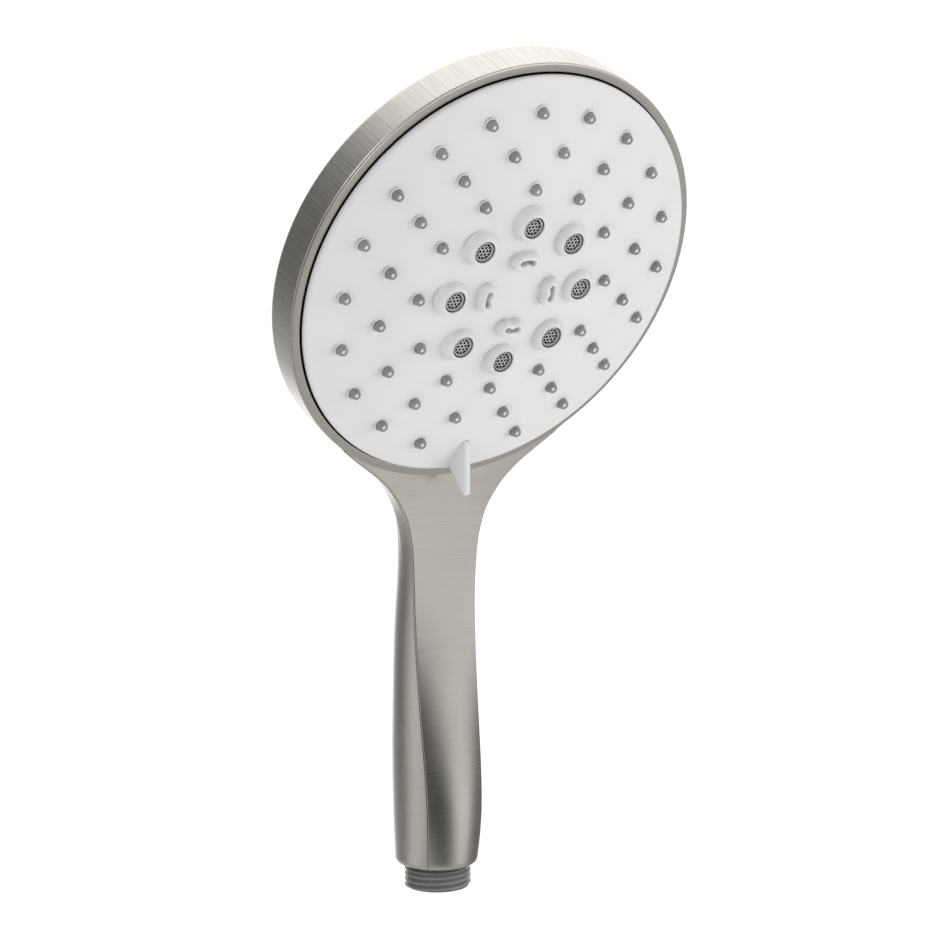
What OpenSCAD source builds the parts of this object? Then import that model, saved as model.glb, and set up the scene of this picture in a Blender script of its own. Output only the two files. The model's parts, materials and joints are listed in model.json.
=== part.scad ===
// Handheld shower head with a turning three-way spray face.
// Origin: centre of the hose thread's end face. +Z runs up the handle, -Y is the front.

/* [Head] */
// Outer radius of the round head
head_r = 70; // [69:0.5:72]
// Forward and downward tilt of the spray face
face_tilt = 22; // [21:0.5:23]
// Depth of the straight side wall of the head
drum_depth = 12.8; // [12.4:0.1:14]
// How far the domed back stands out of the side wall
back_rise = 9; // [8.5:0.5:12]
// Width of the flat bezel ring around the spray face
bezel_w = 2.9; // [2.5:0.1:3.2]
// Wall thickness of the shells
wall = 2.2; // [2.0:0.1:2.4]

/* [Spray face] */
// Radius of the domed front of the spray face
dome_r = 215; // [205:5:230]
// Height of the spray face's centre above the bezel
dome_h = 12.5; // [12.4:0.1:13]
// Thickness of the spray face
face_t = 2.0; // [1.8:0.1:2.2]
// Radii of the three nozzle rings
nozzle_ring_r = [33.7, 45.06, 56.5];
// Places in each of the three nozzle rings
nozzle_places = [12, 16, 20];
// Height of a nozzle above the spray face
nozzle_h = 2.1; // [1.5:0.1:2.6]
// Radius of the aerator ring
aerator_ring_r = 22.7; // [22.5:0.1:23]
// Number of aerators
aerator_n = 8; // [8:1:8]
// Height of the aerator collars above the spray face
collar_h = 2.3; // [2:0.1:2.8]
// Radius of the ring of massage slots
slot_ring_r = 11.3; // [11:0.1:11.6]

/* [Handle] */
// Height of the handle's lower rim above the thread's end
rim_z = 7.7; // [7.5:0.1:8]
// Crest radius of the G1/2 hose thread
thread_r = 10.4; // [10.34:0.01:10.48]
// Pitch of the G1/2 hose thread
thread_pitch = 1.814; // [1.8:0.001:1.82]
// Outer radius of the water tube
tube_r = 4.0; // [3.8:0.1:4.0]

/* [Hidden] */
$fn = 96;

// Centre of the bezel's front plane and the direction cosines of the tilted face
face_centre = [0, -34.5, 197.5];
ts = sin(face_tilt);
tc = cos(face_tilt);

// Radii and levels in the head; levels are along the face's outward normal, 0 at the bezel
bezel_bore_r = head_r - bezel_w;
drum_in_r = head_r - wall;
ring_t = 2.0;
face_gap = 0.3;
joint_gap = 0.05;
face_r = bezel_bore_r - face_gap;
skirt_t = 2.0;
skirt_in_r = face_r - skirt_t;
dome_z = dome_h - dome_r;
back_edge_r = head_r - 2;
back_r = (back_edge_r * back_edge_r + back_rise * back_rise) / (2 * back_rise);
back_z = -drum_depth - back_rise + back_r;

// Levels of the spray chamber, the manifold and the water path behind them
plate_front = -3.0;
plate_back = -4.8;
man_front = -5.1;
man_plate_back = -7.1;
man_back = -13.0;
man_cover_back = -14.6;
path_level = -10.2;
man_r = 33;
boss_r = 7.5;
bearing_r = 4.55;
stub_r = 4.5;
port_ring_r = 23;
port_r = 3.1;
detent_ring_r = 27;
detent_step = 30;
screw_ring_r = 39;
screw_r = 1.5;

// Inside partitions of the spray chamber
outer_wall_r = 62.6;
mid_wall_r = 29.4;
inner_wall_r = 17.4;
part_t = 1.4;
mat_t = 1.5;
mat_gap = 0.05;
sleeve_r = 3.5;
sleeve_bore_r = 2.85;
collar_r = 5;
turbine_r = 13.4;
axle_r = 1.0;

// Hose inlet
inlet_bore_r = 6.2;
crest_flat = 0.4;
flank_h = 0.6;

// Handle: height, radius and centre of the round back
handle_keys = [
  [7, 13.35, 0], [22, 13.74, 0], [38, 13.88, 0], [54, 13.68, 0], [70, 13.25, 0], [86, 12.6, -0.1],
  [100, 12.0, -0.9], [110, 12.3, -2.4], [118, 13.2, -3.8], [128, 14.8, -6.2], [139, 17, -10.1],
  [149, 19, -15.4], [160, 21, -22], [170, 22, -28]
];
// Half width of the front panel at the crease, by height
crease_keys = [
  [7, 9.2], [22, 10.1], [49, 10.75], [77, 11.15], [98, 11.5], [109.3, 12.1], [115.1, 13.1],
  [119.7, 14.3], [123.3, 15.9], [127, 18.3], [130.4, 21.2], [133.7, 24.8], [138.3, 30.6],
  [142, 29], [147, 22], [154, 16], [162, 12], [172, 10]
];
// Forward sweep of the front panel below the bezel, by radius from the face's centre
sweep_keys = [
  [70, 0], [80, 2.8], [93, 7.0], [112.8, 14.4], [135.8, 25.4], [159.3, 37.5], [171.7, 42.8],
  [186, 46.9], [200, 49]
];
// Crown of the front panel between the creases, by height
crown_keys = [[7, 4.0], [20, 3.7], [36, 2.9], [50, 1.8], [66, 0.7], [84, 0.1], [100, 0], [172, 0]];

// Smooth curve through rows of keys: value in column c at x
function key_row(keys, x, i = 0) = i >= len(keys) - 2 || x < keys[i + 1][0] ? i : key_row(keys, x, i + 1);
// Slope of a smooth curve at one of its keys
function key_slope(keys, i, c) =
  let (a = max(0, i - 1), b = min(len(keys) - 1, i + 1))
  (keys[b][c] - keys[a][c]) / (keys[b][0] - keys[a][0]);
// Smooth curve through rows of keys: the value in column c at x
function curve(keys, x, c = 1) =
  let (
    i = key_row(keys, x),
    span = keys[i + 1][0] - keys[i][0],
    t = min(1, max(0, (x - keys[i][0]) / span)),
    t2 = t * t,
    t3 = t2 * t
  )
  (2 * t3 - 3 * t2 + 1) * keys[i][c] + (t3 - 2 * t2 + t) * span * key_slope(keys, i, c)
    + (3 * t2 - 2 * t3) * keys[i + 1][c] + (t3 - t2) * span * key_slope(keys, i + 1, c);

// Level of the front surface at radius r from the face's centre, in the face's frame
function sweep(r) = r <= head_r ? -0.02 : curve(sweep_keys, r);
// The same surface at a point x and a height z of the model: its place along Y
function sweep_level(x, z, w, n) =
  n == 0 ? w : sweep_level(x, z, sweep(norm([x, (z - face_centre[2] + ts * w) / tc])), n - 1);
// Front surface of the neck and handle before its crown
function front_y(x, z) =
  let (w = sweep_level(x, z, 5, 9), v = (z - face_centre[2] + ts * w) / tc)
  face_centre[1] - ts * v - tc * w;
function crease_x(z) = curve(crease_keys, z);
function panel_y(x, z) = front_y(x, z) - curve(crown_keys, z) * (1 - pow(x / crease_x(z), 2));

// Rounding of the lower rim: how much the outline shrinks near rim_z
rim_round = 2;
// How far the lower rim is rounded in
function rim_in(z) =
  z > rim_z + rim_round ? 0 : rim_round - sqrt(max(0, pow(rim_round, 2) - pow(rim_round - (z - rim_z), 2)));

// Side and back of the handle from one crease to the other, inset by d, starting gap behind the crease
side_steps = 12;
function side_point(z, d, gap, k) =
  let (
    shrink = d + rim_in(z),
    r = curve(handle_keys, z) - shrink,
    cy = curve(handle_keys, z, 2),
    cx = crease_x(z) - shrink,
    py = panel_y(cx, z) + shrink + gap,
    start = atan2(cx, cy - py),
    t = abs(k) / side_steps,
    a = start + (180 - start) * t,
    side = k < 0 ? 1 : -1,
    fall = pow(1 - t, 3),
    base = [r * sin(start), cy - r * cos(start)]
  )
  [side * (r * sin(a) + fall * (cx - base[0])), cy - r * cos(a) + fall * (py - base[1]), z];
function side_curve(z, d, gap) =
  [for (k = [0 : side_steps]) side_point(z, d, gap, -k - 0.000001),
   for (k = [side_steps - 1 : -1 : 0]) side_point(z, d, gap, k)];
// Front panel from crease to crease, set back by d
panel_steps = 10;
function panel_curve(z, d) =
  let (cx = crease_x(z) - d - rim_in(z))
  [for (k = [-panel_steps : 2 : panel_steps])
    let (x = cx * k / panel_steps)
    [x, panel_y(x, z) + d + rim_in(z), z]];

function reversed(list) = [for (k = [len(list) - 1 : -1 : 0]) list[k]];

// Closed solid through equal level sections, given bottom to top
module loft(sections) {
  n = len(sections[0]);
  m = len(sections);
  polyhedron(
    points = [for (s = sections) for (p = s) p],
    faces = concat(
      [[for (k = [0 : n - 1]) k]],
      [[for (k = [n - 1 : -1 : 0]) k + n * (m - 1)]],
      [for (j = [0 : m - 2]) for (k = [0 : n - 1])
        [j * n + k, (j + 1) * n + k, (j + 1) * n + (k + 1) % n, j * n + (k + 1) % n]]
    ),
    convexity = 6
  );
}

// Heights of the sections
rim_levels = [rim_z, rim_z + 0.3, rim_z + 0.9, rim_z + 2];
body_levels = [16, 26, 38, 50, 62, 74, 86, 96, 104, 110, 115, 119, 122.5, 126, 129, 132, 135, 138.3];
neck_levels = [142, 147, 153, 160, 168];

// Places a child in the face's own frame: X right, Y up in the face, Z outward
module in_face() {
  translate(face_centre) rotate([90 + face_tilt, 0, 0]) children();
}

// Plain ring or disc between two levels
module ring(outer, inner, low, high) {
  difference() {
    translate([0, 0, low]) cylinder(r = outer, h = high - low);
    if (inner > 0) translate([0, 0, low - 1]) cylinder(r = inner, h = high - low + 2);
  }
}

// Copies spaced evenly round the axis
module around(n, radius, start = 90) {
  for (k = [0 : n - 1]) rotate([0, 0, start + 360 * k / n]) translate([radius, 0, 0]) children();
}

// Round seal of a given cord
module o_ring(inner, cord, level) {
  translate([0, 0, level]) rotate_extrude() translate([inner + cord, 0]) circle(r = cord, $fn = 24);
}

// Wound spring with closed ends on its own axis
module coil(radius, wire, low, high, turns) {
  sides = 8;
  steps = 16;
  rings = round(turns * steps);
  rise = high - low - 2 * wire;
  function level(t) = low + wire + rise * t;
  polyhedron(
    points = [for (j = [0 : rings]) for (k = [0 : sides - 1])
      let (
        a = 360 * turns * j / rings,
        b = 360 * k / sides,
        r = radius + wire * cos(b)
      )
      [r * cos(a), r * sin(a), level(j / rings) + wire * sin(b)]],
    faces = concat(
      [[for (k = [0 : sides - 1]) k]],
      [[for (k = [sides - 1 : -1 : 0]) rings * sides + k]],
      [for (j = [0 : rings - 1]) for (k = [0 : sides - 1])
        [j * sides + k, (j + 1) * sides + k,
          (j + 1) * sides + (k + 1) % sides, j * sides + (k + 1) % sides]]
    )
  );
}

// Solid between the face's domed front, lowered by top, and a dome lowered by bottom
module dome_layer(top, bottom, outer) {
  difference() {
    intersection() {
      translate([0, 0, dome_z]) sphere(r = dome_r - top, $fn = 180);
      translate([0, 0, -20]) cylinder(r = outer, h = 40);
    }
    translate([0, 0, dome_z]) sphere(r = dome_r - bottom, $fn = 180);
  }
}

// Inside of the head behind the bezel ring
module head_cavity() {
  intersection() {
    translate([0, 0, -30]) cylinder(r = drum_in_r, h = 40);
    translate([0, 0, back_z]) sphere(r = back_r - wall, $fn = 180);
  }
}

// Side wall and domed back of the head, with the bosses of the manifold
module head_shell() {
  color("silver") in_face() difference() {
    union() {
      difference() {
        drum();
        head_cavity();
      }
      around(4, screw_ring_r, 45) ring(3.6, 0, -18.2, -8.05);
    }
    around(4, screw_ring_r, 45) ring(screw_r + 0.05, 0, -15.5, -8);
    neck_passage();
  }
}

// Sides and back of the handle and the neck, ending on the head's outside
module handle_shell() {
  shell_levels = concat(rim_levels, body_levels, neck_levels);
  color("silver") difference() {
    loft([for (z = shell_levels) concat(side_curve(z, 0, 0.15), reversed(side_curve(z, wall, 0.2)))]);
    in_face() head_zone();
  }
}

// Bulkhead that carries the hose inlet, held in the handle
module inlet_bulkhead() {
  color("silver") difference() {
    union() {
      ring(10.1, 0, 12, 14);
      intersection() {
        ring(11.1, 0, 12, 14);
        translate([-15, -6.8, 11]) cube([30, 30, 4]);
      }
    }
    translate([0, 0, 11]) cylinder(r = 8.7, h = 4);
  }
}

// Room taken by the head, with the joint gap around it
module head_zone() {
  intersection() {
    translate([0, 0, -40]) cylinder(r = head_r + joint_gap, h = 60);
    translate([0, 0, back_z]) sphere(r = back_r + joint_gap, $fn = 120);
  }
}

// Solid outline of the round head behind the bezel ring
module drum() {
  intersection() {
    rotate_extrude() polygon([
      [0, -30], [head_r - 4, -30], [head_r - 4, -drum_depth - 2], [head_r, -drum_depth + 2],
      [head_r, -ring_t - 0.1], [0, -ring_t - 0.1]
    ]);
    translate([0, 0, back_z]) sphere(r = back_r, $fn = 180);
  }
}

// Way through the head's side wall for the water path
module neck_passage() {
  translate([-5.7, -75, path_level - 5.1]) cube([11.4, 20, 11]);
}

// Front casing: bezel ring, neck panel and handle panel in one moulding
module front_shell() {
  color("gainsboro") difference() {
    union() {
      in_face() ring(head_r, bezel_bore_r, -ring_t, 0);
      loft([for (z = concat(rim_levels, body_levels, [139.6]))
        concat(panel_curve(z, 0), reversed(panel_curve(z, wall)))]);
    }
    in_face() translate([0, 0, -20]) cylinder(r = bezel_bore_r, h = 40);
    in_face() translate([0, 0, -20]) cylinder(r = head_r + 0.2, h = 20 - ring_t);
  }
}

// Half section of the threaded end: crests at the true pitch, the first one on the end face
module thread_profile() {
  crests = 4;
  root = thread_r - 1.16;
  polygon(concat(
    [[6, 0], [thread_r, 0], [thread_r, crest_flat], [root, crest_flat + flank_h]],
    [for (k = [1 : crests - 1])
      let (z = k * thread_pitch)
      each [[root, z - flank_h], [thread_r, z], [thread_r, z + crest_flat],
        [root, z + crest_flat + flank_h]]],
    [[root, rim_z - 0.8], [root - 0.24, rim_z - 0.6], [root - 0.24, 10], [6, 10]]
  ));
}

// Threaded hose stub that is held in the foot of the handle
module hose_inlet() {
  color("dimgray") difference() {
    union() {
      rotate_extrude() thread_profile();
      ring(10.1, 0, 9.9, 11.9);
      ring(8.6, 0, 11.9, 30);
      ring(6.0, 0, 30, 42);
    }
    translate([0, 0, -1]) cylinder(r = inlet_bore_r, h = 28);
    translate([0, 0, -1]) cylinder(r = 4, h = 44);
    ring(9, 7.7, 14.2, 15.4);
    for (z = [33, 37.2]) ring(7, 5.0, z, z + 1.9);
  }
}

// Steel clip that holds the stub in its bulkhead
module inlet_clip() {
  color("silver") difference() {
    ring(10.2, 7.75, 14.3, 15.3);
    translate([0, -10, 14]) cube([8, 20, 4], center = true);
  }
}

// Strainer in the mouth of the stub
module inlet_filter() {
  color("white") difference() {
    ring(inlet_bore_r - 0.05, 0, 1.6, 2.8);
    for (r = [1.9, 3.9]) around(r < 3 ? 6 : 13, r, 0)
      translate([0, 0, 1]) cylinder(r = 0.6, h = 3, $fn = 16);
    translate([0, 0, 1]) cylinder(r = 0.6, h = 3, $fn = 16);
  }
}

// Flow regulator behind the strainer
module flow_regulator() {
  color("seagreen") difference() {
    union() {
      ring(inlet_bore_r - 0.05, 4.9, 3.0, 7.6);
      ring(5.0, 0, 6.2, 7.6);
      ring(1.7, 0, 3.2, 6.3);
      around(6, 1.5, 0) translate([0, 0, 3.6]) cylinder(r = 0.5, h = 3, $fn = 16);
    }
    around(9, 3.4, 0) translate([0, 0, 5]) cylinder(r = 0.75, h = 4, $fn = 16);
  }
}

// Ring that meters the flow in the regulator
module regulator_o_ring() {
  color("black") o_ring(2.15, 1.05, 4.9);
}

// Cage of the check valve, with the seat at its lower end
module check_valve_body() {
  color("ivory") difference() {
    union() {
      ring(inlet_bore_r - 0.05, 4.9, 8.6, 24.6);
      ring(5.0, 3.2, 8.6, 10.6);
      ring(2.4, 1.3, 22.6, 24.6);
      for (a = [0, 60, 120]) rotate([0, 0, a]) difference() {
        translate([-5.3, -0.6, 22.8]) cube([10.6, 1.2, 1.5]);
        translate([0, 0, 22]) cylinder(r = 1.8, h = 4);
      }
    }
    ring(7, 5.3, 16, 17.9);
  }
}

// Seal round the check valve cage
module check_valve_o_ring() {
  color("black") o_ring(5.32, 0.42, 16.95);
}

// Poppet that lifts off its seat when water flows
module check_valve_poppet() {
  color("orange") {
    ring(4.2, 0, 10.65, 12.0);
    ring(2.9, 0, 9.4, 10.7);
    ring(1.22, 0, 11.9, 24);
  }
}

// Spring that closes the poppet
module check_valve_spring() {
  color("lightgray") coil(2.1, 0.25, 12.05, 22.55, 6);
}

// Two seals between the stub and the water tube
module inlet_o_rings() {
  color("black") for (z = [33.95, 38.15]) o_ring(5.03, 0.5, z);
}

// Route of the water tube: up the handle, round the elbow in the neck, into the manifold
tube_y = 0.7;
elbow_v = (face_centre[1] - tube_y - tc * path_level) / ts;
elbow = [0, tube_y, face_centre[2] + tc * elbow_v - ts * path_level];
// Round rod between two points
module rod(a, b, radius, extra = 0) {
  d = b - a;
  n = norm(d);
  translate(a - d / n * extra) rotate([atan2(norm([d[0], d[1]]), d[2]) * (d[1] < 0 ? 1 : -1), 0, 0])
    cylinder(r = radius, h = n + 2 * extra);
}
tube_low = [0, tube_y, 40];
// Point in the plane of symmetry, given in the face frame
function face_point(v, w) = [0, face_centre[1] - ts * v - tc * w, face_centre[2] + tc * v - ts * w];
// Line of the water tube with its elbow
module tube_run(radius, knee) {
  rod(tube_low, elbow, radius);
  translate(elbow) sphere(r = knee, $fn = 60);
  rod(elbow, face_point(-60, path_level), radius);
}

// Tube that carries water up the handle to the manifold
module water_tube() {
  color("whitesmoke") difference() {
    union() {
      tube_run(tube_r, tube_r + 0.2);
      ring(7.6, 0, 30.2, 44);
      rod(face_point(-64.5, path_level), face_point(-56, path_level), 4.85);
    }
    tube_run(3.0, 3.12);
    translate([0, 0, 29]) cylinder(r = 6.04, h = 13.4);
    rod(face_point(-62.5, path_level), face_point(-55, path_level), 3.64);
  }
}

// Seal between the tube and the manifold
module tube_o_ring() {
  color("black") in_face() rotate([90, 0, 0]) translate([0, path_level, 0]) o_ring(2.85, 0.38, 59.5);
}

// Fixed water manifold with the pivot bearing and the supply port
module manifold() {
  color("lightsteelblue") in_face() {
    difference() {
      union() {
        ring(man_r, 0, man_plate_back, man_front);
        ring(man_r, man_r - 2, man_back, man_front);
        ring(boss_r, 0, -14, man_front);
        translate([0, -port_ring_r, 0]) ring(5.3, 4.0, man_back, man_front);
        around(4, screw_ring_r, 45) {
          ring(4.4, 0, -8, man_front - 1.2);
          translate([-8, -3, -8]) cube([6, 6, 1.7]);
        }
        rotate([90, 0, 0]) translate([0, path_level, man_r - 1.5]) cylinder(r = 3.6, h = 62 - man_r + 1.5);
      }
      translate([0, 0, -20]) cylinder(r = bearing_r, h = 20);
      translate([0, -port_ring_r, -12.9]) cylinder(r = 4.0, h = 12);
      for (x = [-1, 1]) translate([x * 5, -port_ring_r, -9.8]) cube([6, 4, 3], center = true);
      around(4, screw_ring_r, 45) translate([0, 0, -20]) cylinder(r = screw_r + 0.1, h = 20);
      rotate([90, 0, 0]) translate([0, path_level, man_r - 3]) cylinder(r = 2.3, h = 40);
      ring_groove();
      rotate([90, 0, 0]) translate([0, path_level, 58.55]) ring(4, 2.8, 0, 1.9);
      translate([-4, detent_ring_r - 4, man_plate_back + 0.6]) cube([8, 8, 3]);
      for (x = [-1, 1]) translate([x * 12, detent_ring_r - 2, man_front - 1])
        cube([16.2, 5, 2.2], center = true);
    }
  }
}

// Arc slot for the stop lug of the turning face
module ring_groove() {
  translate([0, 0, man_plate_back + 0.5]) rotate([0, 0, -detent_step - 7])
    rotate_extrude(angle = 2 * detent_step + 14) translate([detent_ring_r - 2.1, 0]) square([4.2, 4]);
}

// Cover that closes the back of the water path
module manifold_cover() {
  color("slategray") in_face() difference() {
    ring(man_r, boss_r + 0.1, man_cover_back, man_back - 0.02);
    rotate([90, 0, 0]) translate([0, path_level, 0]) cylinder(r = 3.7, h = 60);
  }
}

// Four screws that hold the manifold to the rear casing
module manifold_screws() {
  color("silver") in_face() around(4, screw_ring_r, 45) {
    ring(screw_r, 0, -15, man_front - 1.1);
    difference() {
      ring(2.8, 0, man_front - 1.15, man_front + 0.1);
      translate([0, 0, man_front - 0.4]) cylinder(r = 1.1, h = 2, $fn = 6);
    }
  }
}

// Sprung seal between the supply port and the turning chamber
module port_seal() {
  color("black") in_face() translate([0, -port_ring_r, 0]) {
    ring(3.9, 2.9, -8.2, plate_back - 0.02);
    ring(3.9, 2.2, -8.2, -7.4);
  }
}

// Spring behind the port seal
module port_seal_spring() {
  color("lightgray") in_face() translate([0, -port_ring_r, 0]) coil(3.3, 0.28, -12.85, -8.22, 3);
}

// Leaf spring that clicks into the three detent notches
module detent_spring() {
  color("gold") in_face() {
    translate([-18, detent_ring_r - 3.6, man_front - 0.7]) cube([36, 3.2, 0.4]);
    translate([0, detent_ring_r - 2, man_front - 0.5]) scale([1, 1, 1]) intersection() {
      rotate([90, 0, 0]) translate([0, -0.9, -1.6]) cylinder(r = 1.9, h = 3.2);
      translate([-3, -3, -0.2]) cube([6, 6, 3]);
    }
  }
}

// Level of the domed front at a radius
function dome_at(r) = dome_z + sqrt(dome_r * dome_r - r * r);

// One child at every nozzle place
module each_nozzle() {
  for (k = [0 : 2]) for (j = [0 : nozzle_places[k] - 1]) {
    first = k == 1 ? 11.25 : 0;
    skipped = k == 2 && j == nozzle_places[2] / 2;
    if (!skipped) rotate([0, 0, 90 + first + 360 * j / nozzle_places[k]])
      translate([nozzle_ring_r[k], 0, dome_at(nozzle_ring_r[k])]) children();
  }
}

// White spray face with nozzle holes, aerator collars, massage slots and selector fin
module face_plate() {
  slot_h = dome_at(slot_ring_r);
  color("white") in_face() difference() {
    union() {
      dome_layer(0, face_t, face_r);
      intersection() {
        ring(face_r, skirt_in_r, -4.4, 8);
        translate([0, 0, dome_z]) sphere(r = dome_r, $fn = 180);
      }
      around(aerator_n, aerator_ring_r) translate([0, 0, dome_at(aerator_ring_r) - 3])
        cylinder(r = collar_r, h = 3 + collar_h - 0.6);
      around(aerator_n, aerator_ring_r) translate([0, 0, dome_at(aerator_ring_r) + collar_h - 0.61])
        cylinder(r1 = collar_r, r2 = collar_r - 0.8, h = 0.61);
      for (a = [0 : 90 : 270]) rotate([0, 0, a - 20]) translate([0, 0, slot_h - 1.5])
        rotate_extrude(angle = 40) translate([slot_ring_r - 3.1, 0]) square([6.2, 2.6]);
      fin();
      translate([0, 0, 7.4]) cylinder(r = 2.6, h = 4);
    }
    each_nozzle() translate([0, 0, -6]) cylinder(r = 1.85, h = 12, $fn = 24);
    around(aerator_n, aerator_ring_r) translate([0, 0, 0]) cylinder(r = sleeve_r + 0.03, h = 20);
    for (a = [0 : 90 : 270]) rotate([0, 0, a - 11])
      rotate_extrude(angle = 22) translate([slot_ring_r - 0.6, 0]) square([1.2, 20]);
    translate([0, 0, 7]) cylinder(r = axle_r + 0.02, h = 2.6);
  }
}

// Selector fin at the bottom of the face: thin on its ridge, wide at its root
module fin() {
  hull() {
    translate([0, -54.5, 5.0]) cylinder(r1 = 1.4, r2 = 1.1, h = 0.8, $fn = 24);
    translate([0, -64, 1.3]) cylinder(r1 = 2.6, r2 = 2.4, h = 1, $fn = 24);
    translate([0, -70.1, 9.4]) sphere(r = 1.5, $fn = 24);
    translate([0, -69.4, 11.2]) sphere(r = 1.3, $fn = 24);
  }
}

// Silicone mat that carries all the nozzles
module nozzle_mat() {
  color("gray") in_face() difference() {
    union() {
      difference() {
        dome_layer(face_t + mat_gap, face_t + mat_gap + mat_t, outer_wall_r - 0.1);
        translate([0, 0, -20]) cylinder(r = mid_wall_r + 0.1, h = 40);
      }
      each_nozzle() {
        translate([0, 0, -face_t - 0.6]) cylinder(r = 1.65, h = face_t + 0.6 + nozzle_h * 0.5, $fn = 24);
        translate([0, 0, -face_t]) cylinder(r = 1.35, h = face_t + nozzle_h, $fn = 24);
      }
    }
    each_nozzle() translate([0, 0, -6]) cylinder(r = 0.5, h = 12, $fn = 16);
  }
}

sleeve_low = dome_h - 8.5;
sleeve_high = dome_at(aerator_ring_r) + collar_h - 0.35;
// Sleeves in the aerator collars
module aerator_sleeves() {
  color("dimgray") in_face() around(aerator_n, aerator_ring_r)
    ring(sleeve_r, sleeve_bore_r, sleeve_low, sleeve_high);
}

// Honeycomb inserts in the sleeves
module aerator_grids() {
  pitch = 1.45;
  color("gray") in_face() around(aerator_n, aerator_ring_r) difference() {
    ring(sleeve_bore_r - 0.04, 0, sleeve_high - 3, sleeve_high - 0.5);
    for (i = [-1 : 1]) for (j = [-1 : 1])
      if (abs(i + j) < 2)
        translate([pitch * (i + j / 2), pitch * j * 0.866, sleeve_high - 4])
          cylinder(r = 0.62, h = 5, $fn = 6);
  }
}

// Closed channel on the plate, from one radius to another, and the way through it
module duct_block(angle, low, high) {
  rotate([0, 0, angle]) translate([low, -4.4, plate_back + 0.5]) cube([high - low, 8.8, 6.4]);
}
// Water way through a duct
module duct_way(angle, low, high) {
  rotate([0, 0, angle]) translate([low, -3, plate_front - 0.3]) cube([high - low, 6, 3.4]);
}

chamber_angles = [-90, -90 - detent_step, -90 + detent_step];
// Chamber behind the face with a ring of water for each spray
module spray_chamber() {
  color("beige") in_face() difference() {
    union() {
      ring(skirt_in_r - 0.1, 0, plate_back, plate_front);
      intersection() {
        union() {
          ring(skirt_in_r - 0.1, outer_wall_r, plate_back, 6);
          ring(mid_wall_r, mid_wall_r - part_t, plate_back, 12);
          ring(inner_wall_r, inner_wall_r - part_t, plate_back, 12);
        }
        translate([0, 0, dome_z]) sphere(r = dome_r - face_t - 0.05, $fn = 180);
      }
      duct_block(chamber_angles[1], port_ring_r - 4, mid_wall_r - 0.6);
      duct_block(chamber_angles[2], inner_wall_r - 0.6, port_ring_r + 4);
      ring(stub_r, 0, -13.9, plate_front);
      translate([detent_ring_r, 0, plate_back - 1.3]) cylinder(r = 1.6, h = 2);
    }
    for (a = chamber_angles) rotate([0, 0, a]) translate([port_ring_r, 0, -8])
      cylinder(r = port_r - 0.6, h = 8);
    duct_way(chamber_angles[1], port_ring_r - 2.7, mid_wall_r + 3);
    duct_way(chamber_angles[2], inner_wall_r - 4, port_ring_r + 2.7);
    ring(6, 3.5, -10.7, -8.7);
    translate([0, 0, -14]) cylinder(r = 1.3, h = 9.5);
    for (a = [-1 : 1]) rotate([0, 0, 90 + a * detent_step])
      translate([detent_ring_r - 2, 0, plate_back - 0.9])
      rotate([0, 90, 0]) translate([0, 0, -2.4]) cylinder(r = 2.1, h = 4.8);
  }
}

// Slotted cover that drives the massage turbine
module turbine_cover() {
  color("khaki") in_face() difference() {
    union() {
      ring(inner_wall_r - part_t - 0.05, 0, 0.6, 2.2);
      ring(2.6, 0, 0.6, 3.4);
    }
    translate([0, 0, -1]) cylinder(r = axle_r + 0.01, h = 6);
    around(4, 10.5, 0) rotate([50, 0, 0]) cylinder(r = 1.1, h = 20, center = true, $fn = 24);
  }
}

// Massage turbine that opens and shuts the slots as it turns
module turbine() {
  blade_n = 8;
  color("tomato") in_face() difference() {
    union() {
      ring(2.3, 0, 3.6, 7.2);
      rotate([0, 0, 90]) rotate_extrude(angle = 190) translate([2.2, 6.2]) square([turbine_r - 2.2, 1.0]);
      ring(8, 0, 6.2, 7.0);
      for (k = [0 : blade_n - 1]) rotate([0, 0, 360 * k / blade_n])
        translate([1.9, -0.5, 3.6]) cube([turbine_r - 2.1, 1.0, 3.0]);
    }
    translate([0, 0, 0]) cylinder(r = axle_r + 0.05, h = 12);
  }
}

// Pin that carries the turbine
module turbine_axle() {
  color("silver") in_face() ring(axle_r, 0, 0.8, 9.5);
}

// Seal round the pivot
module pivot_o_ring() {
  color("black") in_face() o_ring(3.52, 0.48, -9.7);
}

// Washer under the pivot screw
module pivot_washer() {
  color("silver") in_face() ring(6.6, 1.7, -14.95, -14.15);
}

// Screw that holds the spray face on its pivot
module pivot_screw() {
  color("silver") in_face() difference() {
    union() {
      ring(1.28, 0, -15.5, -5.2);
      ring(3.1, 0, -16.6, -14.97);
    }
    translate([0, 0, -17]) cylinder(r = 1.1, h = 1.4, $fn = 6);
  }
}

head_shell();
handle_shell();
inlet_bulkhead();
front_shell();
hose_inlet();
inlet_clip();
inlet_filter();
flow_regulator();
regulator_o_ring();
check_valve_body();
check_valve_o_ring();
check_valve_poppet();
check_valve_spring();
inlet_o_rings();
water_tube();
tube_o_ring();
manifold();
manifold_cover();
manifold_screws();
port_seal();
port_seal_spring();
detent_spring();
face_plate();
nozzle_mat();
aerator_sleeves();
aerator_grids();
spray_chamber();
turbine_cover();
turbine();
turbine_axle();
pivot_o_ring();
pivot_washer();
pivot_screw();
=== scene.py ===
"""Looks of the handheld shower head: detailed casing, spray face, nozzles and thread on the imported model."""

import json
import math

import bmesh
import bpy
import numpy as np
from mathutils import Matrix, Vector


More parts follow.
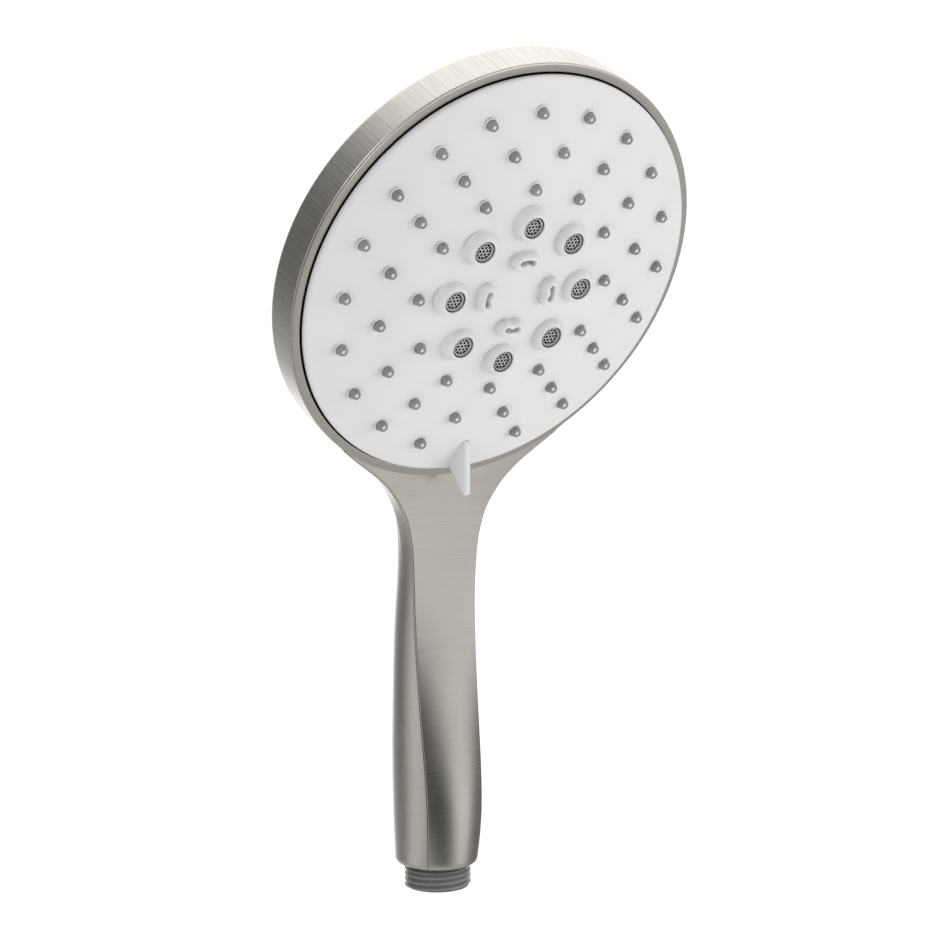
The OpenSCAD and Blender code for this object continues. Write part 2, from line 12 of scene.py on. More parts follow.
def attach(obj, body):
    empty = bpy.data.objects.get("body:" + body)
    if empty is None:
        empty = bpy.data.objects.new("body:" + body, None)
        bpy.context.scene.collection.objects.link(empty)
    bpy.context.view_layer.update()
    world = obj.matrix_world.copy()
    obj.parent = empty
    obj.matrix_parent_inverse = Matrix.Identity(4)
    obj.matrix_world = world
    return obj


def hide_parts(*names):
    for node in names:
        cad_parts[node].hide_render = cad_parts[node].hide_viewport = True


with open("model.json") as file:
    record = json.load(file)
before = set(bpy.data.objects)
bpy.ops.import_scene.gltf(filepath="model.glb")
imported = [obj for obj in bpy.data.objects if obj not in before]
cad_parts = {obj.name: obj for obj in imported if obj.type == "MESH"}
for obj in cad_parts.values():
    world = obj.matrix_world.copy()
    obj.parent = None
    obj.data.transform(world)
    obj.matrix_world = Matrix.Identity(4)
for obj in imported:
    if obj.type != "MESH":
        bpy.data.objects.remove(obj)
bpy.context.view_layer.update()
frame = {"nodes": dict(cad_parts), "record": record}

# Lengths are in millimetres until a mesh is made.
MM = 0.001
TILT = math.radians(22)
TS, TC = math.sin(TILT), math.cos(TILT)
FACE_CENTRE = (0.0, -34.5, 197.5)

# Head: outside, flat ring, bore and spray face radii, drum depth, rise of the domed back
HEAD_R = 70.0
RING_R = 69.55
BORE_R = 67.1
FACE_R = 66.75
DRUM_DEPTH = 12.8
BACK_RISE = 9.0
# Dome of the spray face: sphere radius and height
DOME_R, DOME_H = 215.0, 12.5
# Neck: half its angle at the head, height of its corners on the ring, and where the handle proper starts
NECK_ANGLE = math.radians(35)
NECK_TOP = 144.33
HANDLE_TOP = 100.0
# Joint between the casings: its gap, and how far the front casing's skirt reaches back
SEAM = 0.04
SKIRT = 0.25
# Lower rim: height, rounding, share of the rounding that the front panel takes, and levels down the rounding
RIM_Z, RIM_ROUND = 7.7, 2.0
FRONT_ROUND = 0.2
PLAIN_Z = 10.4
RIM_LEVELS = RIM_Z + np.array([2.0, 1.5, 1.0, 0.6, 0.3, 0.1, 0.0])
# Inside of the lower rim: how far in it goes, how high it reaches
RIM_INSET, RIM_REACH = 0.84, [0, 0, 9]
# Step for slopes taken by difference
STEP = 0.05
# Radii between which the front surface eases off the flat ring, and its rise
EASE_FROM, EASE_TO, EASE_RISE = 69.7, 70.3, 0.233
# Fine line round the ring where the easing starts
LINE_R, LINE_WIDTH, LINE_DEPTH = 69.9, 0.16, 0.05

# Round back of the handle: height, radius, centre
HANDLE = [
    (7, 13.35, 0), (22, 13.74, 0), (38, 13.88, 0), (54, 13.68, 0), (70, 13.25, 0), (86, 12.6, -0.1),
    (100, 12.0, -0.9), (110, 12.3, -2.4), (118, 13.2, -3.8), (128, 14.8, -6.2),
]
# Half width of the front panel at the crease, by height
CREASE = [
    (7, 9.2), (22, 10.1), (49, 10.75), (77, 11.15), (98, 11.55), (109.3, 12.3), (115.1, 13.4),
    (119.7, 14.8), (123.3, 16.7), (127, 19.2), (130.4, 22.2), (133.7, 25.9), (136.55, 29.7),
    (139.0, 33.2), (141.8, 37.0), (144.33, 40.15),
]
# Forward sweep of the front panel, by radius from the face's centre
SWEEP = [
    (70, 0), (80, 2.8), (93, 7.0), (112.8, 14.4), (135.8, 25.4), (159.3, 37.5), (171.7, 42.8),
    (186, 46.9), (200, 49),
]
# Crown of the front panel between the creases, by height
CROWN = [
    (7, 4.0), (20, 3.75), (36, 3.25), (50, 2.65), (66, 1.75), (84, 0.85), (100, 0.2), (112, 0), (172, 0),
]
# Radius of the panel's edge rounding, by height
EDGE = [(7, 0.2), (50, 0.25), (90, 0.4), (120, 0.55), (141, 0.45)]


def curve(keys, x, c=1):
    """Smooth curve through rows of keys: the value in column c at x."""
    keys = np.asarray(keys, float)
    x = np.asarray(x, float)
    last = len(keys) - 1
    i = np.clip(np.searchsorted(keys[:, 0], x, side="right") - 1, 0, last - 1)
    low = np.maximum(np.arange(last + 1) - 1, 0)
    high = np.minimum(np.arange(last + 1) + 1, last)
    slope = (keys[high, c] - keys[low, c]) / (keys[high, 0] - keys[low, 0])
    span = keys[i + 1, 0] - keys[i, 0]
    t = np.clip((x - keys[i, 0]) / span, 0, 1)
    return (
        (2 * t**3 - 3 * t**2 + 1) * keys[i, c]
        + (t**3 - 2 * t**2 + t) * span * slope[i]
        + (3 * t**2 - 2 * t**3) * keys[i + 1, c]
        + (t**3 - t**2) * span * slope[i + 1]
    )


def smooth(t):
    """Smooth step from 0 to 1."""
    t = np.clip(t, 0, 1)
    return t * t * (3 - 2 * t)


def sweep(r):
    """Level of the front surface at radius r in the face's frame."""
    r = np.asarray(r, float)
    ease = np.where(r < EASE_FROM, 0, EASE_RISE * (r - EASE_FROM) ** 2)
    level = np.where(r < EASE_TO, ease, curve(SWEEP, r))
    return level - LINE_DEPTH * np.exp(-(((r - LINE_R) / LINE_WIDTH) ** 2))


def from_face(u, v, w):
    """Face frame (right, up in the face, outward) to the model."""
    u, v, w = np.broadcast_arrays(np.asarray(u, float), v, w)
    y = FACE_CENTRE[1] - TS * v - TC * w
    z = FACE_CENTRE[2] + TC * v - TS * w
    return np.stack([u, y, z], -1)


def polar(r, angle, w):
    """Face frame point at a radius and an angle from straight down, positive to the right."""
    return from_face(r * np.sin(angle), -r * np.cos(angle), w)


def front_y(x, z):
    """Place along Y of the front surface at x and z, found by repeated substitution."""
    x = np.asarray(x, float)
    w = np.full(np.broadcast(x, z).shape, 5.0)
    for _ in range(12):
        w = sweep(np.hypot(x, (z - FACE_CENTRE[2] + TS * w) / TC))
    v = (z - FACE_CENTRE[2] + TS * w) / TC
    return FACE_CENTRE[1] - TS * v - TC * w


def crease_x(z):
    """Half width of the front panel at a height."""
    return curve(CREASE, z)


def rim_in(z):
    """How much the outline shrinks at the rounded lower rim."""
    rise = np.clip(RIM_ROUND - (np.asarray(z, float) - RIM_Z), 0, RIM_ROUND)
    return RIM_ROUND - np.sqrt(RIM_ROUND**2 - rise**2)


def panel_y(x, z):
    """Place along Y of the crowned front panel."""
    crown = curve(CROWN, z) * (1 - np.minimum(np.abs(x) / crease_x(z), 1) ** 2)
    return front_y(x, z) - crown


def unit(v):
    """Rows of vectors at unit length."""
    return v / np.linalg.norm(v, axis=-1, keepdims=True)


def panel_normal(x, z):
    """Outward unit normal of the front panel."""
    dx = (panel_y(x + STEP, z) - panel_y(x - STEP, z)) / (2 * STEP)
    dz = (panel_y(x, z + STEP) - panel_y(x, z - STEP)) / (2 * STEP)
    n = np.stack([dx, -np.ones_like(dx), dz], -1)
    return unit(n)


def path_length(points):
    """Length along a row of points, from 0 at the first."""
    return np.concatenate([[0], np.cumsum(np.linalg.norm(np.diff(points, axis=0), axis=1))])


class Builder:
    """Collects grids of points into one mesh, with a brush coordinate along and across the grain."""

    def __init__(self):
        self.points = []
        self.faces = []
        self.brush = []
        self.slots = []
        self.count = 0

    def grid(self, points, brush=None, closed=False, flip=False, slot=0):
        """Adds rows of points as quads, joined round when closed."""
        rows, cols = points.shape[:2]
        index = self.count + np.arange(rows * cols).reshape(rows, cols)
        if brush is None:
            brush = np.zeros((rows, cols, 2))
        if closed:
            index = np.concatenate([index, index[:, :1]], 1)
        a, b = index[:-1, :-1].ravel(), index[:-1, 1:].ravel()
        c, d = index[1:, 1:].ravel(), index[1:, :-1].ravel()
        quads = np.stack([a, d, c, b] if flip else [a, b, c, d], -1)
        self.points.append(points.reshape(-1, 3))
        self.brush.append(brush.reshape(-1, 2))
        self.faces.extend(quads.tolist())
        self.slots.extend([slot] * len(quads))
        self.count += rows * cols

    def fan(self, ring, centre, slot=0):
        """Closes a ring of points with triangles to its centre."""
        n = len(ring)
        self.points.append(np.vstack([ring, centre]))
        self.brush.append(np.zeros((n + 1, 2)))
        for k in range(n):
            self.faces.append([self.count + k, self.count + (k + 1) % n, self.count + n])
            self.slots.append(slot)
        self.count += n + 1

    def make(self, name, materials, sharp):
        """Makes the object: sharp is the angle in degrees from which an edge is kept sharp."""
        points = np.vstack(self.points)
        brush = np.vstack(self.brush)
        mesh = bpy.data.meshes.new(name)
        mesh.from_pydata((points * MM).tolist(), [], self.faces)
        layer = mesh.uv_layers.new(name="brush")
        loops = np.empty(len(mesh.loops), int)
        mesh.loops.foreach_get("vertex_index", loops)
        layer.data.foreach_set("uv", brush[loops].ravel())
        mesh.polygons.foreach_set("material_index", self.slots)
        for material in materials:
            mesh.materials.append(material)
        obj = bpy.data.objects.new(name, mesh)
        bpy.context.collection.objects.link(obj)
        weld(mesh, 0.004 * MM)
        mesh.shade_smooth()
        mesh.set_sharp_from_angle(angle=math.radians(sharp))
        return obj


def weld(mesh, distance):
    """Joins points that lie within a distance of each other."""
    bm = bmesh.new()
    bm.from_mesh(mesh)
    bmesh.ops.remove_doubles(bm, verts=bm.verts, dist=distance)
    bmesh.ops.dissolve_degenerate(bm, edges=bm.edges, dist=distance / 4)
    bm.to_mesh(mesh)
    bm.free()


# ---------------------------------------------------------------- materials

def node(tree, kind, inputs=None, **settings):
    """Adds a shader node: an input is a value, or a socket to link from."""
    n = tree.nodes.new(kind)
    for key, value in settings.items():
        setattr(n, key, value)
    for key, value in (inputs or {}).items():
        if isinstance(value, bpy.types.NodeSocket):
            tree.links.new(value, n.inputs[key])
        else:
            n.inputs[key].default_value = value
    return n


def new_material(name):
    material = bpy.data.materials.new(name)
    material.use_nodes = True
    tree = material.node_tree
    shader = tree.nodes["Principled BSDF"]
    return material, tree, shader


def noise(tree, vector, scale, detail=2.0, roughness=0.5):
    inputs = {"Vector": vector, "Scale": scale, "Detail": detail, "Roughness": roughness}
    return node(tree, "ShaderNodeTexNoise", inputs).outputs["Fac"]


def to_range(tree, value, low, high):
    """Spreads the middle of a noise over low to high."""
    inputs = {"Value": value, "From Min": 0.3, "From Max": 0.7, "To Min": low, "To Max": high}
    return node(tree, "ShaderNodeMapRange", inputs).outputs["Result"]


def blend_colour(tree, factor, first, second):
    n = node(tree, "ShaderNodeMix", data_type="RGBA")
    tree.links.new(factor, n.inputs[0])
    for socket, value in ((n.inputs[6], first), (n.inputs[7], second)):
        if isinstance(value, bpy.types.NodeSocket):
            tree.links.new(value, socket)
        else:
            socket.default_value = (*value, 1)
    return n.outputs[2]


def stretch(tree, vector, scale):
    inputs = {"Vector": vector, "Scale": scale}
    return node(tree, "ShaderNodeMapping", inputs).outputs["Vector"]


def brushed_nickel(name, streak, dark, light):
    """Nickel plating with lines across the brush coordinate: streak is how many there are per millimetre."""
    material, tree, shader = new_material(name)
    uv = node(tree, "ShaderNodeUVMap", uv_map="brush").outputs["UV"]
    place = node(tree, "ShaderNodeTexCoord").outputs["Object"]
    fine = noise(tree, stretch(tree, uv, (0.05, 4.5, 1)), 1.0, 3.0, 0.6)
    broad = noise(tree, stretch(tree, uv, (0.015, streak, 1)), 1.0, 3.0, 0.65)
    cloud = noise(tree, place, 45.0, 3.0, 0.55)
    grain = blend_colour(tree, to_range(tree, broad, 0, 1), dark, light)
    tone = blend_colour(tree, to_range(tree, fine, 0, 0.4), grain, (0.62, 0.59, 0.55))
    tree.links.new(tone, shader.inputs["Base Color"])
    shader.inputs["Metallic"].default_value = 1.0
    rough = node(tree, "ShaderNodeMath", {0: to_range(tree, fine, 0.24, 0.33),
                                          1: to_range(tree, cloud, -0.02, 0.03)})
    tree.links.new(rough.outputs[0], shader.inputs["Roughness"])
    bump = node(tree, "ShaderNodeBump", {"Height": fine, "Strength": 0.12, "Distance": 0.00002})
    tree.links.new(bump.outputs["Normal"], shader.inputs["Normal"])
    shader.inputs["Anisotropic"].default_value = 0.45
    tangent = node(tree, "ShaderNodeTangent", direction_type="UV_MAP", uv_map="brush")
    tree.links.new(tangent.outputs["Tangent"], shader.inputs["Tangent"])
    return material


def moulded(name, colour, roughness, grain=900.0, bump=0.05, shift=0.08, **constants):
    """Moulded plastic or rubber: slight flow marks in the colour, uneven gloss and a fine mould texture."""
    material, tree, shader = new_material(name)
    place = node(tree, "ShaderNodeTexCoord").outputs["Object"]
    flow = noise(tree, place, 60.0, 3.0, 0.5)
    fine = noise(tree, place, grain, 2.0, 0.5)
    dark = tuple(c * (1 - shift) for c in colour)
    light = tuple(min(1.0, c * (1 + shift / 2)) for c in colour)
    tree.links.new(blend_colour(tree, to_range(tree, flow, 0, 1), dark, light), shader.inputs["Base Color"])
    gloss = node(tree, "ShaderNodeMath", {0: to_range(tree, flow, roughness - 0.03, roughness + 0.03),
                                          1: to_range(tree, fine, -0.02, 0.02)})
    tree.links.new(gloss.outputs[0], shader.inputs["Roughness"])
    relief = node(tree, "ShaderNodeBump", {"Height": fine, "Strength": bump, "Distance": 0.00005})
    tree.links.new(relief.outputs["Normal"], shader.inputs["Normal"])
    for socket, value in constants.items():
        shader.inputs[socket.replace("_", " ")].default_value = value
    return material


def turned_steel():
    """Stainless steel with fine turning lines across its height."""
    material, tree, shader = new_material("turned_steel")
    place = node(tree, "ShaderNodeTexCoord").outputs["Object"]
    lines = noise(tree, stretch(tree, place, (60, 60, 5200)), 1.0, 2.0, 0.5)
    stain = noise(tree, place, 300.0, 2.0, 0.5)
    colour = blend_colour(tree, to_range(tree, stain, 0, 1), (0.50, 0.49, 0.48), (0.64, 0.64, 0.64))
    tree.links.new(colour, shader.inputs["Base Color"])
    shader.inputs["Metallic"].default_value = 1.0
    tree.links.new(to_range(tree, lines, 0.2, 0.36), shader.inputs["Roughness"])
    return material


nickel = brushed_nickel("brushed_nickel", 1.4, (0.55, 0.525, 0.485), (0.60, 0.575, 0.535))
wall_nickel = brushed_nickel("brushed_nickel_wall", 1.6, (0.42, 0.40, 0.375), (0.68, 0.655, 0.615))
white_plastic = moulded("satin_white_plastic", (0.65, 0.65, 0.65), 0.36, grain=1500, bump=0.03, shift=0.02,
                        Coat_Weight=0.12, Coat_Roughness=0.3)
silicone = moulded("grey_silicone", (0.23, 0.23, 0.23), 0.26, grain=2500, bump=0.1, shift=0.15)
# Near-black copy of the nozzle silicone for the nozzles' foot: painted shade where each nozzle goes into the
# face.
nozzle_foot_shade = moulded("painted_shade_silicone", (0.03, 0.03, 0.03), 0.5, grain=2500, bump=0.1, shift=0.2)
# Near-black rings between the aerator collars and their inserts: painted shade of the recess there.
aerator_ring_shade = moulded("painted_shade_ring", (0.02, 0.02, 0.02), 0.3, grain=2500, bump=0.05, shift=0.2)
grid_plastic = moulded("grey_grid_plastic", (0.42, 0.42, 0.42), 0.35, grain=2500, bump=0.05, shift=0.1)
# Near-black painted shade for the ring's bore, the face's skirt, and the aerator holes and wells: it stands in
# for the shade in these gaps and holes.
painted_recess_shade = moulded("painted_recess_shade", (0.008, 0.008, 0.008), 0.6, grain=2500, bump=0.05, shift=0.3)
thread_plastic = moulded("dark_thread_plastic", (0.19, 0.19, 0.195), 0.33, grain=1800, bump=0.06, shift=0.12)
acetal = moulded("natural_acetal", (0.72, 0.72, 0.69), 0.4, grain=1200, bump=0.05, shift=0.05)
green_plastic = moulded("green_plastic", (0.05, 0.32, 0.18), 0.4, grain=1500, bump=0.06, shift=0.1)
orange_plastic = moulded("orange_plastic", (0.66, 0.2, 0.03), 0.38, grain=1500, bump=0.06, shift=0.1)
seal_rubber = moulded("black_seal_rubber", (0.018, 0.018, 0.018), 0.55, grain=2600, bump=0.15, shift=0.25)
steel = turned_steel()

SLOT_MATERIAL = {
    "shell": nickel, "face": white_plastic, "silicone": silicone, "aerator": aerator_ring_shade,
    "grid": grid_plastic, "inlet": thread_plastic, "inner_plastic": acetal, "regulator": green_plastic,
    "valve": orange_plastic, "seal": seal_rubber, "steel": steel,
}
for part in frame["record"]["subparts"]:
    cad = frame["nodes"][part["node"]]
    cad.data.materials.clear()
    cad.data.materials.append(SLOT_MATERIAL[part["material_slot"]])


# ---------------------------------------------------------------- front casing

# Angles round the face from straight down: across the neck, and round the rest of the head
SECTOR = np.linspace(-NECK_ANGLE, NECK_ANGLE, 97)
AROUND = np.linspace(NECK_ANGLE, 2 * math.pi - NECK_ANGLE, 401)
# Steps of the panel's edge rounding, and how far its lip reaches in behind the skirt
ROUND_STEPS = np.radians(np.linspace(0, 90, 8))
LIP = 1.1
# The panel's rows follow the ring down to ARC_END below the face's centre, and are level from LEVEL_START
ARC_END, LEVEL_START = 57.5, 92
# Drop of the finely spaced rows under the ring, and the height above which the edge point drops with its lean
NECK_FALL = 15.7
LEAN_Z = 20
# Spacing of the brush coordinate across an edge
EDGE_BRUSH = 0.3


def ring_brush(angles, widths):
    """Brush coordinate that runs round the head."""
    a, w = np.meshgrid(angles, widths)
    return np.stack([a * HEAD_R, w], -1)


def edge_strip(base, outward, normal, radius):
    """Rows of points that roll from base over a rounded edge, down a short skirt and in behind it."""
    rows = [base + radius * (np.sin(a) * outward - (1 - np.cos(a)) * normal) for a in ROUND_STEPS]
    rows.append(rows[-1] - SKIRT * normal)
    rows.append(rows[-1] - LIP * outward)
    return np.stack(rows)


def make_front():
    """Front casing: flat ring, neck panel and handle panel in one skin, with its edge turned back."""
    build = Builder()
    full = np.concatenate([SECTOR[:-1], AROUND[:-1]])
    profile = [
        (BORE_R, -2.0), (BORE_R, -0.42), (BORE_R + 0.06, -0.2), (BORE_R + 0.2, -0.06),
        (BORE_R + 0.42, 0), (BORE_R + 1.1, 0), (RING_R, 0),
    ]
    rows = np.stack([polar(r, full, w) for r, w in profile])
    # The ring's bore below its chamfer takes slot 1: near-black painted shade for the gap round the spray face.
    build.grid(rows[:2], ring_brush(full, [0, 1]), closed=True, slot=1)
    build.grid(rows[1:], ring_brush(full, [r for r, w in profile[1:]]), closed=True)

    # Rounded outer edge of the ring outside the neck
    base = polar(RING_R, AROUND, 0)
    outward = polar(HEAD_R, AROUND, 0) - base
    face_normal = from_face(0, 0, 1) - from_face(0, 0, 0)
    strip = edge_strip(base, outward, face_normal, HEAD_R - RING_R)
    build.grid(strip, ring_brush(AROUND, 69 + np.arange(len(strip)) * EDGE_BRUSH))

    # Panel of the neck and handle: rows that turn from the ring's arc to level lines
    heights = np.concatenate([
        NECK_TOP - np.linspace(0, 1, 52) ** 1.3 * NECK_FALL,
        np.linspace(128.0, HANDLE_TOP + 1, 24),
        np.linspace(99.2, PLAIN_Z, 52),
        RIM_LEVELS,
    ])
    across = np.sin(SECTOR) / math.sin(NECK_ANGLE)
    panel, left, right = [], [], []
    for j, z in enumerate(heights):
        radius = float(curve(EDGE, z))
        shrink = FRONT_ROUND * float(rim_in(z))
        cx = float(crease_x(z))
        slope = float(crease_x(z + STEP) - crease_x(z - STEP)) / (2 * STEP)
        lean = np.array([1.0, -slope]) / math.hypot(1, slope)
        if j == 0:
            lean = np.array([math.sin(NECK_ANGLE), -math.cos(NECK_ANGLE) * TC])
        edge_x = cx - radius * lean[0] - shrink
        edge_z = z - radius * lean[1] if z > LEAN_Z else z
        if j == 0:
            row = polar(RING_R, SECTOR, 0)
            normal = face_normal
            outward = polar(HEAD_R, NECK_ANGLE, 0) - polar(RING_R, NECK_ANGLE, 0)
        elif z > HANDLE_TOP:
            y = float(front_y(edge_x, edge_z))
            v = (edge_z - FACE_CENTRE[2]) * TC - (y - FACE_CENTRE[1]) * TS
            arc = smooth((v + LEVEL_START) / (LEVEL_START - ARC_END))
            r = math.hypot(edge_x, v)
            start = RING_R * math.cos(NECK_ANGLE)
            sag = max(arc * (r + v), RING_R + 0.3 * (-v - start) + v)
            u = edge_x * across
            bow = (math.sqrt(r**2 - edge_x**2) - np.sqrt(r**2 - u**2)) / (r + v)
            depth = v + sag * bow
            row = from_face(u, depth, sweep(np.hypot(u, depth)))
            normal = panel_normal(np.array([edge_x]), edge_z)[0]
            corner = np.array([cx, float(front_y(cx, z)), z])
            outward = corner - row[-1]
        else:
            u = edge_x * across
            y = panel_y(u * cx / max(cx - shrink, 1), z) + shrink
            row = np.stack([u, y, np.full_like(u, z)], -1)
            normal = panel_normal(np.array([edge_x]), z)[0]
            normal = normal * [1, 1, 0]
            outward = np.array([1.0, 0.0, 0.0])
        normal = normal / np.linalg.norm(normal)
        outward = outward - normal * np.dot(outward, normal)
        outward = outward / np.linalg.norm(outward)
        panel.append(row)
        strip = edge_strip(row[-1], outward, normal, radius)
        right.append(strip)
        left.append(strip * [-1, 1, 1])
    panel = np.stack(panel)
    along = path_length(panel[:, len(SECTOR) // 2])
    brush = np.stack([panel[..., 0], np.broadcast_to(along[:, None], panel.shape[:2])], -1)
    build.grid(panel, brush)
    right, left = np.stack(right), np.stack(left)
    side = np.stack(np.broadcast_arrays(np.arange(right.shape[1]) * EDGE_BRUSH, along[:, None]), -1)
    build.grid(right, side)
    build.grid(left, side, flip=True)

    # Inside of the lower rim
    last = np.concatenate([left[-1][::-1], panel[-1], right[-1]])
    inner = last * [RIM_INSET, 0.9, 1]
    build.grid(np.stack([last, inner, inner + RIM_REACH]))
    obj = build.make("front_casing", [nickel, painted_recess_shade], sharp=50)
    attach(obj, "handle")
    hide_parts("front_shell")


make_front()


# ---------------------------------------------------------------- rear casing

# Sphere of the domed back: radius and level of its centre
BACK_R = ((HEAD_R - 2) ** 2 + BACK_RISE**2) / (2 * BACK_RISE)
BACK_Z = -DRUM_DEPTH - BACK_RISE + BACK_R
# Radius on the back where the neck leaves it
ARC_R = 66.4
# Rib up the back: height, half width, and the radii between which it rises
RIB_H, RIB_WIDTH, RIB_FROM, RIB_RISE = 3.3, 15.0, 26, 46
# An x so far out that the rib has no height there
NO_RIB = 1e3


def seam_depth(z):
    """Depth of the joint below the front surface."""
    return curve(EDGE, z) + SKIRT + SEAM


def back_level(r, x):
    """Level of the domed back, with the rib that runs up from the neck."""
    rib = RIB_H * smooth((r - RIB_FROM) / RIB_RISE) * np.exp(-((x / RIB_WIDTH) ** 2))
    return BACK_Z - np.sqrt(BACK_R**2 - r**2) - rib


def back_point(r, angle):
    """Point on the back: the rib is on the lower half only."""
    x = r * np.sin(angle)
    lower = np.cos(angle) > 0
    return polar(r, angle, back_level(r, np.where(lower, x, NO_RIB)))


def handle_side(z, t):
    """Point on the side of the handle: t runs from 0 at the right crease to 1 at the middle of the back."""
    shrink = float(rim_in(z))
    r = float(curve(HANDLE, z)) - shrink
    cy = float(curve(HANDLE, z, 2))
    cx = float(crease_x(z)) - FRONT_ROUND * shrink
    gap = float(seam_depth(z))
    py = float(panel_y(np.array(cx), z)) + FRONT_ROUND * shrink + gap
    start = math.atan2(cx, cy - py)
    a = start + (math.pi - start) * t
    fall = (1 - t) ** 3
    x = r * np.sin(a) + fall * (cx - SEAM - r * math.sin(start))
    y = cy - r * np.cos(a) + fall * (py - cy + r * math.cos(start))
    return np.stack([x, y, np.full_like(x, z)], -1)


def make_rear():
    """Rear casing: drum wall, domed back, neck and back of the handle in one skin."""
    build = Builder()
    seam = -float(seam_depth(141))
    wall_r = HEAD_R - SEAM
    edge_r = 1.8
    edge_w = -DRUM_DEPTH + 1.2
    corner = [(wall_r - edge_r * (1 - math.cos(a)), edge_w - edge_r * math.sin(a))
              for a in np.radians(np.linspace(0, 76, 8))]
    wall = [(67.6, seam), (wall_r - 0.1, seam), (wall_r, seam - 0.1)]
    wall += [(wall_r, w) for w in np.linspace(seam - 0.8, edge_w + 0.6, 6)] + corner
    blend_r = np.linspace(corner[-1][0], ARC_R, 3)[1:]
    tail = [(r, float(back_level(r, NO_RIB))) for r in blend_r]
    profile = wall + tail
    rows = np.stack([polar(r, AROUND, w) for r, w in profile])
    a, w = np.meshgrid(AROUND * HEAD_R, path_length(np.array(profile)))
    split = len(wall) - len(corner) + 1
    build.grid(rows[:split], np.stack([w, a], -1)[:split], slot=1)
    build.grid(rows[split - 1:], ring_brush(AROUND, [r for r, w in profile[split - 1:]]))

    # Domed back inside the blend circle
    full = np.concatenate([SECTOR[:-1], AROUND[:-1]])
    radii = np.concatenate([np.linspace(ARC_R, 44, 16), np.linspace(42, 0.6, 18)])
    dome = np.stack([back_point(r, full) for r in radii])
    a, w = np.meshgrid(full, radii)
    build.grid(dome, np.stack([a * 40, w], -1), closed=True)
    build.fan(dome[-1], back_point(0.0, np.zeros(1)))

    # Neck: columns leave the head along the wall, its rounded edge and the back, and join the handle
    down_wall = np.array(profile[1:])
    arc = SECTOR[SECTOR > -1e-9][::-1]
    wall_points = np.stack([polar(r, NECK_ANGLE, w) for r, w in down_wall])
    arc_points = np.stack([back_point(ARC_R, a) for a in arc])
    top = np.vstack([wall_points, arc_points[1:]])
    wall_dir = unit(np.stack([polar(r, NECK_ANGLE - 0.002, w) - polar(r, NECK_ANGLE, w) for r, w in down_wall]))
    arc_dir = unit(np.stack([back_point(ARC_R, a) - back_point(ARC_R - 0.1, a) for a in arc]))
    turn = smooth((NECK_ANGLE - arc) / NECK_ANGLE)[:, None]
    arc_dir = wall_dir[-1] * (1 - turn) + arc_dir * turn
    direction = unit(np.vstack([wall_dir, arc_dir[1:]]))
    length = path_length(top)
    share = length / length[-1]
    low = handle_side(HANDLE_TOP, share)
    low_dir = unit(handle_side(HANDLE_TOP - 1, share) - low)
    reach = np.linalg.norm(low - top, axis=1, keepdims=True)
    p1 = top + direction * reach * 0.40
    p2 = low - low_dir * reach * 0.48
    s = np.linspace(0, 1, 49)[:, None, None]
    neck = (1 - s) ** 3 * top + 3 * (1 - s) ** 2 * s * p1 + 3 * (1 - s) * s**2 * p2 + s**3 * low
    z = np.minimum(neck[:, 0, 2], NECK_TOP)
    edge = np.stack([crease_x(z) - SEAM, front_y(crease_x(z), z), z], -1)
    normals = np.stack([panel_normal(np.array([e[0]]), e[2])[0] for e in edge])
    normals[0] = from_face(0, 0, 1) - from_face(0, 0, 0)
    edge = edge - normals * seam_depth(z)[:, None]
    edge[0], edge[-1] = neck[0, 0], neck[-1, 0]
    fall = ((1 - share) ** 3)[None, :, None]
    neck = neck + (edge - neck[:, 0])[:, None, :] * fall

    levels = np.concatenate([np.linspace(98.2, PLAIN_Z, 50), RIM_LEVELS])
    handle = np.stack([handle_side(zz, share) for zz in levels])
    side = np.concatenate([neck, handle])
    along = path_length(side[:, len(top) // 2])
    brush = np.stack(np.broadcast_arrays(share * 40, along[:, None]), -1)
    mirrored = side * [-1, 1, 1]
    build.grid(side, brush, flip=True)
    build.grid(mirrored, brush * [-1, 1])

    # Lip behind the seam, and the inside of the lower rim
    lip = side[:, 0] + np.array([-1.2, 0.1, 0])
    for sign in (1, -1):
        pair = np.stack([lip, side[:, 0]], 1) * [sign, 1, 1]
        build.grid(pair, flip=sign > 0)
        last = side[-1] * [sign, 1, 1]
        inner = last * [RIM_INSET, RIM_INSET, 1]
        build.grid(np.stack([last, inner, inner + RIM_REACH]), flip=sign > 0)
    obj = build.make("rear_casing", [nickel, wall_nickel], sharp=50)
    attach(obj, "handle")
    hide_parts("head_shell", "handle_shell")


make_rear()


# ---------------------------------------------------------------- spray face

# Nozzle rings: radius, places, offset in degrees; the outer ring has no nozzle at the fin
NOZZLE_RINGS = [(33.7, 12, 0.0), (45.06, 16, 11.25), (56.5, 20, 0.0)]
FIN_RING = 20
AERATOR_R, AERATORS = 22.7, 8
PAD_R, PADS = 11.3, 4
# Honeycomb: spacing of the cells and radius of a hole
CELL_PITCH, CELL_HOLE = 1.26, 0.47


def dome_level(r):
    """Level of the spray face's dome at a radius."""
    return DOME_H - DOME_R + np.sqrt(DOME_R**2 - r**2)


def lathe(build, profile, u, v, base, steps, slot=0):
    """Turned shape standing on the face at (u, v): profile is (radius, height above base)."""
    a = np.linspace(0, 2 * math.pi, steps, endpoint=False)
    rows = [from_face(u + r * np.sin(a), v - r * np.cos(a), base + h) for r, h in profile]
    build.grid(np.stack(rows), closed=True, slot=slot)


def nozzle_places():
    for radius, count, offset in NOZZLE_RINGS:
        for k in range(count):
            if count == FIN_RING and k == 0:
                continue
            a = math.radians(offset + 360 * k / count)
            yield radius * math.sin(a), -radius * math.cos(a)


def aerator_places():
    for k in range(AERATORS):
        a = math.radians(360 / AERATORS * k)
        yield AERATOR_R * math.sin(a), -AERATOR_R * math.cos(a)


